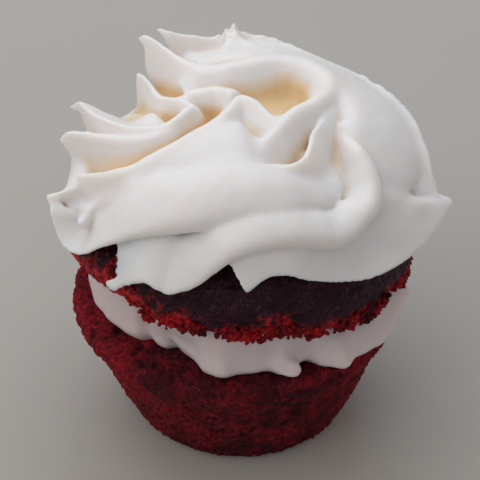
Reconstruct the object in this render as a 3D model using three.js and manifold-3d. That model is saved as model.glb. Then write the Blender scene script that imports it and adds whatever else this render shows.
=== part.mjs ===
// Mini red velvet cupcake, split across its middle and filled, with a piped rosette on top.
// Millimetres, +Z up. The origin is the centre of the flat foot, and -Y is the front.
// Four pieces: the tapered base, the filling between the cut faces, the tilted domed top
// and the rosette. The rosette is a low mound with thin blades of cream lofted onto it.
import * as THREE from 'three';
import { mergeVertices } from 'three/addons/utils/BufferGeometryUtils.js';
import Module from 'manifold-3d';

const wasm = await Module();
wasm.setup();

// ---------- driving dimensions ----------
const FOOT_RADIUS = 16.1;
const FOOT_EDGE = 0.8;
const BASE_LEAN = -0.3;
const RIM_RADIUS = 23.4;
const CUT_HEIGHT = 20.5;
const CUT_RISE_BACK = 0.033;
const CUT_RISE_RIGHT = 0.019;

const TOP_HEIGHT = 26;
const TOP_RISE_BACK = -0.087;
const TOP_RISE_RIGHT = -0.114;
const TOP_SHIFT_BACK = 1.8;
const TOP_RADIUS = 24.5;
const SHOULDER_HEIGHT = 34.2;
const SHOULDER_RISE_BACK = -0.07;
const SHOULDER_RISE_RIGHT = 0.06;
const TOP_DOME = 4.4;

const GAP = 0.3;
const CRUMB_RELIEF = 0.28;
const ROUND_STEPS = 64;
const FILLING_STEPS = 96;
const FILLING_TOP_RADIUS = 22.6;
const FILLING_TOP_BACK = 0.9;

const SWIRL_CENTRE = new THREE.Vector2(0.5, 1);
const MOUND_RADIUS = 21.8;
const MOUND_BACK = 0.09;
const MOUND_TOP = 47.3;
const MOUND_EDGE = 37.4;
const MOUND_WAIST = 20.4;
const MOUND_RINGS = 8;
const MOUND_STEPS = 40;
const MOUND_LIP = 0.03;
const MOUND_BEND = 2.4;
const BLADE_SIDES = 10;
const BLADE_STEP = 3.5;

// The filling's ruffled lip, right round: [turn, radius, lift above the cut face]. It droops
// over the rim where the lift is below 0. Turn 0 is the right side and 90 the back.
const RUFFLE = [
  [0, 23.8, 0.6], [18, 22.8, 0.3], [36, 23.6, 0.2], [60, 22.6, 0.3], [82, 23.4, 0.3],
  [104, 22.4, 0.7], [126, 23, 0.4], [146, 21.8, 1], [166, 22.4, 0.5], [182, 21.5, 0.4],
  [196, 21.2, 0.4], [206, 20.7, 0.4], [218, 20.2, 0.5], [225, 20, 0.8], [229, 18.4, 1.6],
  [233, 18.8, 0.8], [238, 18.8, 0.8], [241, 17.6, 1.4], [245, 18.4, 0.9], [251, 19.2, 0.9],
  [258, 21.2, 0.6], [263, 21.8, 0.6], [271, 20.9, 0.6], [281, 20.7, 0.7], [285, 22, 0.5],
  [290, 21.2, 0.8], [295, 20.8, 1.6], [301, 22.9, 0.6], [306, 24.6, 0.4], [311, 23.7, 0.4],
  [318, 23.7, -0.6], [326, 24.1, -1.8], [335, 24, -1.8], [343, 23.9, -0.8], [350, 24.9, 0.3],
  [355, 24.2, 0.6], [360, 23.8, 0.6],
];

// How far the lower edge of the top is torn up, right round: [turn, height].
// The filling follows by this share of it, from this share of its own radius outwards.
const TEARS = [
  [0, 0], [46, 0], [60, 0.8], [74, 0], [184, 0], [198, 0.7], [208, 2.2], [216, 3.4], [227, 3.6],
  [231, 2.8], [235, 0.9], [240, 0], [274, 0], [283, 1.2], [292, 0], [318, 0], [332, 1.4], [346, 0],
  [360, 0],
];
const TEAR_FILL = 0.85;
const TEAR_FILL_FROM = 0.86;

// The rosette's blades. A crest runs through stations [turn, radius, height], round the axis
// of the swirl. The blade hangs from its crest: rise is the angle at which it stands up from
// the level, depth its height, root and edge its half widths at its foot and its crest, and
// belly how far its middle swells to the lower side; lean tips it backwards along the path.
// It grows over its first part, start, from the share point of its size, and sinks back into
// the mound over its last, end. A low rise makes a plate that fills between two crests.
// A list is spread evenly along the crest.
const BLADES = {
  skirt: {
    crest: [[270.8, 26.7, 38.3], [273.2, 26.6, 39.3], [276.5, 26.4, 40.3], [281, 26.4, 40.5],
      [286, 26.4, 39.4], [293, 26.3, 38], [300, 26.3, 36.9], [308, 26.3, 36], [314, 26.4, 35.6],
      [320, 26.6, 35.7], [326, 26.9, 36.3], [336, 27.2, 37], [346, 28, 37.6]],
    depth: [6.5, 7, 7, 7, 7, 7, 6, 4], rise: [-52, -50, -48, -44, -42, -36, -28, -10],
    root: [2.2, 2.2, 2.4, 2.4, 2.4, 2.4, 2, 1.2], edge: [0.8, 0.6, 0.55, 0.55, 0.55, 0.55, 0.55],
    belly: [0, 0.4, 0.6, 0.4, 0.2], start: 0.04, point: 0.8, end: 0,
    lean: [0.3, 0.1, 0, 0, 0, 0, 0, 0],
  },
  rightTip: {
    crest: [[346, 28, 37.6], [342, 26.8, 39], [337, 25.6, 40.2], [331, 24, 41.8], [325, 22, 43.4],
      [319, 20, 44.2]],
    depth: [4, 6, 7, 7], rise: 100, root: [2.6, 5, 6, 5], edge: [0.45, 1.2, 1.8, 1.8], start: 0.4,
    end: 0.25, flank: 1,
  },
  backWall: {
    crest: [[344, 26.6, 39.4], [348, 25.2, 42], [357, 24, 43.6], [370, 22.8, 44.8],
      [383, 21.2, 46], [402, 20, 45.8], [424, 19, 47.1], [436, 19, 48.2], [449, 18.8, 48.9],
      [452, 18.6, 49.4], [454, 18.5, 50.6], [456.3, 18.4, 49.6], [458, 18.3, 50.3],
      [459.6, 18.2, 49], [461, 18, 48.3], [464, 17.9, 48.2]],
    depth: [4, 7, 8, 8, 8, 8, 8, 8], rise: [20, 30, 40, 46, 50, 56, 60],
    root: [2.4, 4.4, 5, 5, 5, 4.8, 4.4], edge: 0.45, start: 0.06, point: 0.3, end: 0.02,
  },
  coil: {
    crest: [[320, 21.8, 41], [329, 22.8, 41.4], [340, 23.4, 41.4], [352, 23.2, 41.8],
      [370, 21.8, 42.8], [395, 19.6, 44], [420, 18.4, 45], [440, 18, 45.2], [460, 18.4, 44.6],
      [480, 19, 43.8], [498, 18.4, 43.4]],
    depth: [12, 12.5, 12.5, 11, 9.5, 9.5, 10, 10.5],
    rise: [-38, -38, -36, -32, -28, -24, -22, -22, -24, -24], root: 2.4, edge: 2.2, start: 0.04,
    point: 0.7, end: 0.12, flank: 1,
  },
  shelf: {
    crest: [[229, 26.6, 34.8], [232, 26.8, 34.1], [236, 26.7, 35.4], [243, 26.7, 37.3],
      [249, 26.7, 36.7], [254, 26.7, 37.6], [258, 26.7, 39], [262, 26.6, 41], [266, 26.6, 43],
      [270, 26.4, 44], [275, 26.2, 44.6], [283, 25.9, 44.6], [290, 25.9, 43.8], [296, 25.9, 43],
      [302, 25.7, 43.2], [308, 25.1, 44.5], [314, 23.9, 45], [319, 22.1, 46.3], [322.5, 19.8, 47.9],
      [325, 17.3, 48.9], [330, 14.4, 49.1], [337, 12, 48.8]],
    depth: [8.5, 8, 7.5, 5.5, 5, 5, 5, 5.5, 5], rise: [-58, -46, -40, -18, -14, -8, 35, 85, 95],
    root: [1, 1.6, 1.8, 2.2, 2.3, 2.4, 2.4, 2.4, 2.2],
    edge: [0.4, 0.6, 0.9, 1.4, 1.6, 1.6, 1.7, 1.4, 0.9], start: 0.03, point: 0.85, end: 0.14,
    lean: [0.45, 0.15, 0, 0, 0, 0, 0, 0, 0],
  },
  band: {
    crest: [[199, 26.8, 39.8], [203, 27.1, 38.6], [206, 27.1, 36.4], [210, 26.8, 35],
      [216, 26.5, 35.7], [222, 26.4, 37.5], [228, 25.8, 39.7], [235, 25.2, 41.8], [243, 24.7, 43.5],
      [250, 24.3, 44.6], [257, 23.9, 45.4], [263, 23.5, 46], [270, 23.1, 46.4], [278, 22.9, 46.5],
      [286, 22.6, 46.3], [296, 21.7, 45.5], [304, 20.7, 44.9], [310, 19, 44.8], [314, 17, 44.8],
      [318, 15, 45], [322, 13, 45.4]],
    depth: [3, 6.5, 8, 8, 8, 8.5, 9, 8, 7.5, 6.5, 5],
    rise: [-5, -28, -36, -31, -26, -21, -16, -12, -9, -6, -4],
    root: [0.9, 1.6, 2, 2, 2.2, 2.6, 2.6, 2.4, 2.1, 1.8, 1.5],
    edge: [0.45, 0.45, 0.5, 0.9, 1.6, 2.1, 2.2, 2, 1.6, 1.4, 1.2],
    belly: [0.9, 0.9, 0.8, 0.4, 0, -0.3, -0.3, -0.3, -0.3, -0.3, 0], start: 0.11, point: 0.15,
    end: 0.1, flank: 1,
  },
  apron: {
    crest: [[227, 19, 44], [234, 17.6, 45.1], [243, 16.4, 46.1], [252, 15.8, 47],
      [262, 15.4, 47.6], [272, 15.2, 47.6], [282, 14.6, 46.8], [292, 13.6, 45.8], [302, 12.6, 45.4]],
    depth: [4, 4.5, 6, 8, 9, 8.5, 7], rise: [-42, -34, -26, -17, -12, -9, -6], root: 1.8,
    edge: 2.1, start: 0.1, point: 0.5, end: 0.12, flank: 1,
  },
  bandFold: {
    crest: [[217, 25.8, 40.2], [217, 24.6, 41.2], [216.5, 23.3, 42.3], [220, 22, 43.7],
      [224, 20.9, 44.6], [230, 19.3, 45.6], [236, 17.9, 46.4]],
    depth: 6.5, rise: [50, 54, 58, 56], root: [1.8, 2.8, 3.6], edge: [0.6, 1, 1.6], start: 0.2,
    point: 0.5, end: 0.3, flank: 1,
  },
  leftFoot: {
    crest: [[158, 24, 35.8], [168, 23.6, 37], [180, 22.8, 38], [190, 23.2, 37.8],
      [198, 24.3, 37.4], [206, 23.8, 37.6], [215, 22.8, 38.4], [224, 22.2, 39.2]],
    depth: [3, 4, 5, 5, 5, 6, 7.5], rise: -45, root: 2.2, edge: 1.5, start: 0.1, point: 0.5,
    end: 0.15, flank: 1,
  },
  tongueTop: {
    crest: [[199, 26.8, 39.8], [203, 25.4, 41.4], [206, 24, 42.6], [210, 22, 43.6]],
    depth: 6, rise: [30, 40, 55], root: [1.5, 3, 3.2], edge: 0.4, start: 0.35, point: 0.15,
    end: 0.4,
  },
  ridge: {
    crest: [[204, 23.4, 43.8], [211, 22.2, 45.3], [218, 20.8, 46.6], [225, 18.2, 47.8],
      [230, 15, 49.1], [238, 11.3, 50.5], [245, 8.2, 51], [251, 5.2, 51.3], [262, 2.8, 51.6],
      [290, 4, 51.6], [297, 6.8, 51.1], [299, 9.5, 50.4]],
    depth: [6, 7, 7.5, 7.5, 6.5], rise: [60, 74, 92, 97, 109], root: [3, 4.4, 4.6, 4.4, 3.2],
    edge: [0.6, 1.1, 1.2, 1, 0.7], belly: 0.3, point: 0.3, end: 0.06, flank: 1,
  },
  ridgeBack: {
    crest: [[180, 8.2, 49.4], [176, 7, 50], [172, 5.4, 50.4], [170, 3.6, 50.7], [190, 1.8, 51],
      [235, 1.6, 51.3]],
    depth: 5, rise: 90, root: 3, edge: 1.2, start: 0.2, point: 0.4, end: 0.1, flank: 1,
  },
  leftLow: {
    crest: [[180, 24.6, 43], [182, 23.6, 44.6], [188, 21.6, 46.1], [197, 19.2, 47.3],
      [207, 16.8, 48.3], [214, 15, 48.9], [218, 12.6, 49.4], [218, 9.8, 49.7]],
    depth: [9.5, 9, 8, 8, 8], rise: [72, 64, 66, 80, 92], root: [3.4, 4.4, 4.6, 4.6],
    edge: [0.5, 0.9, 1.4, 1.2], start: 0.1, point: 0.7, end: 0.15,
  },
  leftHigh: {
    crest: [[161, 25.2, 43.2], [164, 23.5, 45], [174, 21.2, 46.6], [188, 18.6, 48],
      [200, 16, 48.7], [208, 14.2, 49.2], [214, 12.2, 49.7], [214, 9.6, 50.3], [208, 7.8, 50.6],
      [200, 6.6, 50.6]],
    depth: [5, 7, 7.5, 7], rise: [60, 56, 62, 76, 92], root: [2, 4, 4.6, 4],
    edge: [0.4, 0.6, 0.8, 1], start: 0.3, end: 0.08,
  },
  leftFill: {
    crest: [[158, 18.6, 40], [168, 19.2, 40], [180, 19.8, 40.4], [192, 20, 41], [205, 19, 42.2],
      [222, 17, 43.6]],
    depth: [9.5, 11, 11, 9.5], rise: [-26, -28, -28, -26], root: 2.3, edge: 2, start: 0.1,
    point: 0.5, end: 0.12, flank: 1,
  },
  spike: {
    crest: [[140, 19.2, 46.2], [144, 16.9, 46.9], [151, 14.5, 47.6], [162, 12.5, 48.2],
      [172, 10.9, 48.8], [178, 9.5, 49.3], [185, 8.1, 49.7], [200, 6.9, 50], [212, 5.9, 50.1]],
    depth: [7, 7.5, 7.5, 7], rise: [86, 80, 80, 90], root: [1.6, 3, 3.6, 3.4],
    edge: [0.35, 0.6, 0.9], start: 0.04, point: 0.9, end: 0.12,
  },
  backLeft: {
    crest: [[133, 21.6, 49.8], [132.5, 20.2, 50.6], [132, 17.3, 50.6], [133, 14, 50.4],
      [134, 11.3, 50.5], [133, 9, 50.6], [128, 7, 50.6]],
    depth: [4, 8, 9, 9, 8], rise: [100, 92, 88, 88, 92], root: [0.6, 1.6, 3.6, 4.8, 4.8],
    edge: [0.35, 0.45, 0.8, 1.5, 1.8], start: 0.4, point: 0.1, end: 0.08,
  },
  backPeak: {
    crest: [[126, 20.6, 50.8], [121, 19.2, 50.3], [115, 18.5, 49.7], [108, 17.9, 49.2],
      [101, 17.6, 48.4], [96, 17.8, 48.4], [90, 18, 48.2]],
    depth: [2, 3.5, 6, 7, 8, 8], rise: 95, root: [0.6, 1.6, 3, 4, 4.4], edge: [0.3, 0.4, 0.6, 0.8],
    start: 0.4, point: 0.08, end: 0.05,
  },
  inner: {
    crest: [[150, 9.5, 48.6], [138, 8, 49.8], [125, 7, 50.6], [110, 6.7, 51], [92, 7, 51.1],
      [76, 8.2, 51.1], [62, 9.7, 50.9], [48, 11, 50.7], [34, 11.7, 50.6], [20, 11.8, 50.6],
      [0, 11, 51], [-18, 10, 51.4], [-44, 9, 51.6], [-60, 9.6, 51], [-75, 11.2, 50.1],
      [-82, 12.9, 49]],
    depth: [7, 7.5, 7.5, 7, 6.5, 6, 5, 4.5], rise: [102, 104, 102, 98, 92, 86, 81],
    root: [3.8, 4.2, 4.2, 3.8, 3.4, 3, 2.4], edge: [2, 2.2, 2, 1.6, 1.2, 0.9], point: 0.5,
    end: 0.1, flank: 1,
  },
  curlFloor: {
    crest: [[262, 9.5, 46], [284, 11, 46.2], [306, 11.2, 46.4], [328, 10.2, 47]],
    depth: 6, rise: -10, root: 2.6, edge: 1.7, start: 0.1, point: 0.6, end: 0.1, flank: 1,
  },
  curlSide: {
    crest: [[300, 18.6, 43.4], [308, 19.2, 43.8], [315, 18, 44.3], [322, 16, 44.9],
      [328, 14.2, 45.6]],
    depth: 5.5, rise: -10, root: 1.6, edge: 1.4, start: 0.1, point: 0.5, end: 0.1, flank: 1,
  },
  lip: {
    crest: [[346, 11.6, 49.7], [326, 11.8, 50], [314, 12.5, 50.1], [304, 14.6, 50.1],
      [297, 16.4, 50], [290, 17, 49.9], [284, 16.4, 49.8], [279, 15, 49.7]],
    depth: [5, 5.5, 6, 5], rise: [73, 69, 75, 87], root: [2.6, 1.9, 1.7, 2, 2.2],
    edge: [0.9, 0.6, 0.5, 0.6, 0.7], point: 0.4, end: 0.12, flank: 1,
  },
};

// Arms of the far side, much alike: each starts lower down the side than the wall above it.
// From FAR_LOW_FROM on they stay low, beside the open arms of the left.
const FAR_ARMS = 6;
const FAR_FIRST_TURN = 6;
const FAR_SPACING = 27;
const FAR_UNEVEN_TURN = 3;
const FAR_UNEVEN_HEIGHT = 0.12;
const FAR_TIP_RADIUS = 25.8;
const FAR_LOW_FROM = 4;
const FAR_LOW_SHARE = 0.6;

// ---------- helpers ----------
// A number as it is, or a list read at a share of its length.
function spread(value, share) {
  if (!Array.isArray(value)) return value;
  const place = share * (value.length - 1);
  const low = Math.min(Math.floor(place), value.length - 2);
  return THREE.MathUtils.lerp(value[low], value[low + 1], place - low);
}

// A column of a table that runs right round, read at this turn and rounded between stations.
function readRound(table, turn, column) {
  const degrees = THREE.MathUtils.euclideanModulo(THREE.MathUtils.radToDeg(turn), 360);
  const after = table.findIndex((station) => station[0] > degrees);
  const [last, next] = [table[after - 1], table[after]];
  const share = (degrees - last[0]) / (next[0] - last[0]);
  return THREE.MathUtils.lerp(last[column], next[column], (1 - Math.cos(Math.PI * share)) / 2);
}

// Low relief of the crumb on the cake's sides.
function crumble(turn, height, phase) {
  const coarse = Math.sin(5 * turn + 0.31 * height + phase) * Math.sin(0.43 * height + 2 * phase);
  const fine = Math.sin(11 * turn - 0.7 * height + 3 * phase) * Math.cos(3 * turn + 0.9 * height);
  return CRUMB_RELIEF * (0.6 * coarse + 0.6 * fine);
}

// Joins the seams of a primitive and drops the triangles that this flattens.
function closeUp(geometry) {
  geometry.deleteAttribute('normal');
  geometry.deleteAttribute('uv');
  const merged = mergeVertices(geometry, 1e-4);
  const index = merged.index.array;
  const kept = [];
  for (let i = 0; i < index.length; i += 3) {
    const [a, b, c] = [index[i], index[i + 1], index[i + 2]];
    if (a !== b && b !== c && c !== a) kept.push(a, b, c);
  }
  merged.setIndex(kept);
  return merged;
}

// A profile of [radius, height] turned about Z, each point then moved by place(turn, r, z).
function turned(profile, steps, place) {
  const points = profile.map(([r, z]) => new THREE.Vector2(r, z));
  const geometry = closeUp(new THREE.LatheGeometry(points, steps).rotateX(Math.PI / 2));
  const position = geometry.attributes.position;
  const spot = new THREE.Vector3();
  for (let i = 0; i < position.count; i++) {
    spot.fromBufferAttribute(position, i);
    const turn = Math.atan2(spot.y, spot.x);
    position.setXYZ(i, ...place(turn, Math.hypot(spot.x, spot.y), spot.z));
  }
  return geometry;
}

function toSolid(geometry) {
  const position = geometry.attributes.position;
  const index = Array.from(geometry.index.array);
  let volume = 0;
  const [a, b, c] = [new THREE.Vector3(), new THREE.Vector3(), new THREE.Vector3()];
  for (let i = 0; i < index.length; i += 3) {
    a.fromBufferAttribute(position, index[i]);
    b.fromBufferAttribute(position, index[i + 1]);
    c.fromBufferAttribute(position, index[i + 2]);
    volume += a.dot(b.cross(c));
  }
  if (volume < 0) index.reverse();
  return new wasm.Manifold(new wasm.Mesh({
    numProp: 3,
    vertProperties: new Float32Array(position.array),
    triVerts: new Uint32Array(index),
  }));
}

function toGeometry(solid) {
  const mesh = solid.getMesh();
  const geometry = new THREE.BufferGeometry();
  geometry.setAttribute('position', new THREE.BufferAttribute(mesh.vertProperties, 3));
  geometry.setIndex(new THREE.BufferAttribute(mesh.triVerts, 1));
  return geometry;
}

function named(name, geometry, color, roughness) {
  const mesh = new THREE.Mesh(geometry, new THREE.MeshStandardMaterial({ color, roughness }));
  mesh.name = name;
  return mesh;
}

// ---------- the cake ----------
const cutFace = (x, y) => CUT_HEIGHT + CUT_RISE_BACK * y + CUT_RISE_RIGHT * x;
const topFace = (x, y) => TOP_HEIGHT + TOP_RISE_BACK * y + TOP_RISE_RIGHT * x;
const shoulder = (x, y) => SHOULDER_HEIGHT + SHOULDER_RISE_BACK * y + SHOULDER_RISE_RIGHT * x;

function cakeBase() {
  const profile = [
    [0, 0], [FOOT_RADIUS - FOOT_EDGE, 0], [FOOT_RADIUS, FOOT_EDGE], [17.7, 4.5], [19.2, 8.5],
    [20.4, 12], [21.2, 14.4], [22.4, 16.6], [RIM_RADIUS, 18.4], [RIM_RADIUS - 0.1, CUT_HEIGHT - 0.7],
    [RIM_RADIUS - 0.8, CUT_HEIGHT], [12, CUT_HEIGHT], [0, CUT_HEIGHT],
  ];
  return turned(profile, ROUND_STEPS, (turn, r, z) => {
    const side = z > FOOT_EDGE / 2 && r > RIM_RADIUS / 2 ? 1 : 0;
    const wide = r + side * crumble(turn, z, 0.4);
    const [x, y] = [wide * Math.cos(turn), wide * Math.sin(turn)];
    return [x + BASE_LEAN * z / CUT_HEIGHT, y, z * cutFace(x, y) / CUT_HEIGHT];
  });
}

// The top's profile: [radius, share of the way from the cut to the shoulder, rise above that].
function cakeTop(swell) {
  const profile = [
    [0, 0, -swell], [22.6, 0, -swell], [23.8 + swell, 0.06, -swell], [TOP_RADIUS - 0.2 + swell, 0.3, 0],
    [TOP_RADIUS + swell, 0.6, 0], [TOP_RADIUS - 0.2 + swell, 0.8, 0],
    [TOP_RADIUS - 0.9 + swell, 1, swell], [22.4 + swell / 2, 1, 1 + swell], [19.5, 1, 2.1 + swell],
    [13, 1, 3.6 + swell], [0, 1, TOP_DOME + swell],
  ];
  const rings = profile.map(([r], ring) => [r, ring]);
  return turned(rings, ROUND_STEPS, (turn, r, ring) => {
    const [, share, rise] = profile[Math.round(ring)];
    const side = r > 22 && share < 1 ? 1 : 0;
    const wide = r + side * crumble(turn, 9 * share, 1.7);
    const [x, y] = [wide * Math.cos(turn), wide * Math.sin(turn) + TOP_SHIFT_BACK];
    const lifted = side && share < 0.3 ? readRound(TEARS, turn, 1) : 0;
    return [x, y, THREE.MathUtils.lerp(topFace(x, y), shoulder(x, y), share) + rise + lifted];
  });
}

// ---------- the filling ----------
// Radii in the profile are shares: 1 is the lip. Heights are 0 at the cut face, 1 at the top.
function filling() {
  const profile = [
    [0, 0], [0.5, 0], [0.86, 0], [0.95, 0.02], [1, 0.1], [0.985, 0.26], [0.96, 0.5],
    [0.95, 0.8], [0.92, 0.96], [0.86, 1], [0.5, 1], [0, 1],
  ];
  return turned(profile, FILLING_STEPS, (turn, share, z) => {
    const lip = readRound(RUFFLE, turn, 1);
    const topReach = FILLING_TOP_RADIUS + FILLING_TOP_BACK * Math.sin(turn);
    const reach = THREE.MathUtils.lerp(lip, topReach, THREE.MathUtils.smoothstep(z, 0.2, 0.9));
    const [x, y] = [share * reach * Math.cos(turn), share * reach * Math.sin(turn)];
    const floor = cutFace(x, y) + GAP;
    const torn = readRound(TEARS, turn, 1) * THREE.MathUtils.smoothstep(share, TEAR_FILL_FROM, 1);
    const height = topFace(x, y) - GAP - floor + TEAR_FILL * torn;
    const brim = Math.max(0, 10 * share - 9) ** 2;
    const hover = readRound(RUFFLE, turn, 2) * brim * Math.max(0, 1 - 2 * z) * Math.min(1, height / 4);
    return [x, y, floor + z * height + hover];
  });
}

// ---------- the rosette ----------
// A station of the swirl as a point.
function onSwirl([turn, radius, height]) {
  const angle = THREE.MathUtils.degToRad(turn);
  return new THREE.Vector3(
    SWIRL_CENTRE.x + radius * Math.cos(angle), SWIRL_CENTRE.y + radius * Math.sin(angle), height);
}

// One blade of cream: a teardrop section, BLADE_SIDES round, lofted along its crest.
function blade(shape) {
  const { crest, depth, rise, root, edge } = shape;
  const { belly = 0, start = 0.1, point = 0.1, end = 0.25, flank = 1.2, lean = 0 } = shape;
  const line = new THREE.CatmullRomCurve3(crest.map(onSwirl), false, 'centripetal');
  const steps = Math.max(5, Math.round(line.getLength() / BLADE_STEP));
  const geometry = closeUp(new THREE.CylinderGeometry(1, 1, 1, BLADE_SIDES, steps));
  const position = geometry.attributes.position;
  const up = new THREE.Vector3(0, 0, 1);
  for (let i = 0; i < position.count; i++) {
    const share = THREE.MathUtils.clamp(position.getY(i) + 0.5, 0, 1);
    const around = Math.atan2(position.getX(i), position.getZ(i));
    const middle = Math.hypot(position.getX(i), position.getZ(i)) < 0.5;
    const ahead = line.getTangentAt(share);
    const out = new THREE.Vector3().crossVectors(ahead, up).normalize();
    const over = new THREE.Vector3().crossVectors(out, ahead);
    const angle = THREE.MathUtils.degToRad(spread(rise, share));
    const stand = over.multiplyScalar(Math.sin(angle)).addScaledVector(out, Math.cos(angle));
    const across = new THREE.Vector3().crossVectors(ahead, stand);
    stand.addScaledVector(ahead, -spread(lean, share));
    const growth = share < start ? point + (1 - point) * Math.sin(0.5 * Math.PI * share / start) : 1;
    const run = end > 0 ? Math.max(0, (share - 1 + end) / end) : 0;
    const sink = 0.06 + 0.94 * Math.sqrt(1 - run * run);
    const size = growth * (run > 0 ? sink : 1);
    const tall = spread(depth, share);
    const thin = spread(edge, share) * Math.min(1, 0.35 + growth) * (run > 0 ? sink : 1);
    const up01 = middle ? 0.5 : 0.5 * (1 - Math.cos(around));
    const half = thin + (spread(root, share) - spread(edge, share)) * size * (1 - up01) ** flank;
    const sideways = middle ? 0 : Math.sign(Math.sin(around)) * Math.abs(Math.sin(around)) ** 0.75;
    const drop = tall * size * (up01 - 1) - (run > 0 ? 0.5 * tall * (1 - sink) : 0);
    const swell = spread(belly, share) * size * 4 * up01 * (1 - up01);
    const spot = line.getPointAt(share).addScaledVector(stand, drop);
    spot.addScaledVector(across, swell + half * sideways);
    position.setXYZ(i, spot.x, spot.y, spot.z);
  }
  return toSolid(closeUp(geometry));
}

// An arm of the far side: its tip lies on the cake's shoulder and it sweeps up to the wall.
function farArm(number) {
  const uneven = Math.sin(5 * number);
  const turn = FAR_FIRST_TURN + FAR_SPACING * number + FAR_UNEVEN_TURN * uneven;
  const angle = THREE.MathUtils.degToRad(turn);
  const rim = shoulder(TOP_RADIUS * Math.cos(angle), TOP_RADIUS * Math.sin(angle));
  const tall = (number < FAR_LOW_FROM ? 1 : FAR_LOW_SHARE) * (1 + FAR_UNEVEN_HEIGHT * uneven);
  return {
    crest: [[turn - 8, FAR_TIP_RADIUS, rim + 0.6], [turn + 1, FAR_TIP_RADIUS, rim + 2.9 * tall],
      [turn + 16, 24.2, rim + 5.9 * tall], [turn + 36, 21, rim + 8.8 * tall],
      [turn + 58, 17.5, rim + 10 * tall]],
    depth: [4.5, 7.5, 8, 7, 6], rise: [-20, 10, 35, 55], root: [1.6, 3.8, 4.6, 4],
    edge: [0.5, 0.9, 1.2, 1], start: 0.16, point: 0.35, end: 0.3,
  };
}

// The low mound under the blades, a little wider at the back than at the front. Its waist
// follows the shoulder of the cake below.
function mound() {
  const drop = MOUND_TOP - MOUND_EDGE;
  const profile = [[0, 0], [MOUND_WAIST - 1, 0], [MOUND_WAIST, 1]];
  for (let ring = MOUND_RINGS; ring >= 0; ring--) {
    const share = ring / MOUND_RINGS;
    profile.push([MOUND_RADIUS * share * (1 - MOUND_LIP * share), MOUND_TOP - drop * share ** MOUND_BEND]);
  }
  return turned(profile, MOUND_STEPS, (turn, r, z) => {
    const wide = r * (1 + MOUND_BACK * Math.sin(turn));
    const [x, y] = [SWIRL_CENTRE.x + wide * Math.cos(turn), SWIRL_CENTRE.y + wide * Math.sin(turn)];
    return [x, y, z > 1 ? z : shoulder(x, y) + z - 1];
  });
}

function swirl() {
  const blades = Object.values(BLADES);
  for (let number = 0; number < FAR_ARMS; number++) blades.push(farArm(number));
  let solid = toSolid(mound());
  for (const each of blades) solid = solid.add(blade(each));
  return toGeometry(solid.subtract(toSolid(cakeTop(GAP))));
}

// ---------- the cupcake ----------
const cupcake = new THREE.Group();
cupcake.add(named('cake_base', cakeBase(), 0x4a0c12, 0.85));
cupcake.add(named('frosting_filling', filling(), 0xdcd5cc, 0.5));
cupcake.add(named('cake_top', cakeTop(0), 0x2a0c12, 0.7));
cupcake.add(named('frosting_swirl', swirl(), 0xe6dfd4, 0.45));

export default cupcake;
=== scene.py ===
"""Looks of a filled mini cupcake: two crumbly sponge halves, a ruffled filling and a piped swirl.

Shapes are worked out in millimetres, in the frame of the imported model: +Z is up, the origin is
the centre of the foot, and -Y is the front. Turns are in degrees, 0 at the right, 90 at the back.
"""
import itertools
import math

import bmesh
import bpy
import numpy as np
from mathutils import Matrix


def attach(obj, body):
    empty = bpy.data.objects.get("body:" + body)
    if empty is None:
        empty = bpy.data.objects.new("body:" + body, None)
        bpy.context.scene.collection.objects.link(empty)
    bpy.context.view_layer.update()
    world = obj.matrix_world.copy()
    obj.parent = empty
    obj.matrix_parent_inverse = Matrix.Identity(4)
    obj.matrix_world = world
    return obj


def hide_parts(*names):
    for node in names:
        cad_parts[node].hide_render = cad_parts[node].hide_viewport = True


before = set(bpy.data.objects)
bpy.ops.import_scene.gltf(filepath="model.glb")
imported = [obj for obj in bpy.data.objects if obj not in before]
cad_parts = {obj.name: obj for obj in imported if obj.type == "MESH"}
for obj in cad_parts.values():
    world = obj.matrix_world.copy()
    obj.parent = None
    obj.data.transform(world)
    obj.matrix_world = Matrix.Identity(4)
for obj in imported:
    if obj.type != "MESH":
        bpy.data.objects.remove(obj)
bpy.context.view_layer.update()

import openvdb
from mathutils import Vector

MM = 0.001

# ---------- the sponge's dimensions ----------
# The cut, the top's lower face and the shoulder are planes: a height at the cake's middle, and
# how much they rise for each millimetre to the back and to the right.
CUT_HEIGHT = 20.5
CUT_RISE_BACK = 0.033
CUT_RISE_RIGHT = 0.019
# How far to the right the base's middle has moved at the height of the cut.
BASE_LEAN = -0.3
# [radius, height]
BASE_PROFILE = [[0, 0], [15.3, 0], [16.1, 0.8], [17.7, 4.5], [19.2, 8.5], [20.4, 12], [21.2, 14.4],
                [22.4, 16.6], [23.4, 18.4], [23.3, 19.8], [22.6, 20.5], [18.5, 20.5], [0, 20.5]]

TOP_HEIGHT = 26.0
TOP_RISE_BACK = -0.087
TOP_RISE_RIGHT = -0.114
TOP_SHIFT_BACK = 1.8
TOP_RADIUS = 24.5
SHOULDER_HEIGHT = 34.2
SHOULDER_RISE_BACK = -0.07
SHOULDER_RISE_RIGHT = 0.06
# [radius, share of the way from the lower face to the shoulder, rise above the shoulder]
TOP_PROFILE = [[0, 0, 0], [22.6, 0, 0], [23.8, 0.06, 0], [24.3, 0.3, 0], [24.5, 0.6, 0], [24.3, 0.8, 0],
               [23.6, 1, 0], [22.4, 1, 1], [19.5, 1, 2.1], [13, 1, 3.6], [0, 1, 4.4]]

# Height of the bright torn crumb above the top's lower edge: [turn, height].
TORN = [[0, 1.2], [40, 0.8], [80, 1.6], [120, 0.8], [160, 1.2], [186, 1.6], [200, 2.2], [206, 1.2],
        [212, 0.3], [222, 0.3], [226, 2.2], [230, 4.2], [236, 4], [243, 3], [250, 2.4], [262, 1.8],
        [272, 2.4], [283, 2.8], [292, 1.4], [303, 1.8], [313, 2.6], [324, 1.8], [336, 1.4], [360, 1.2]]
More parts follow.
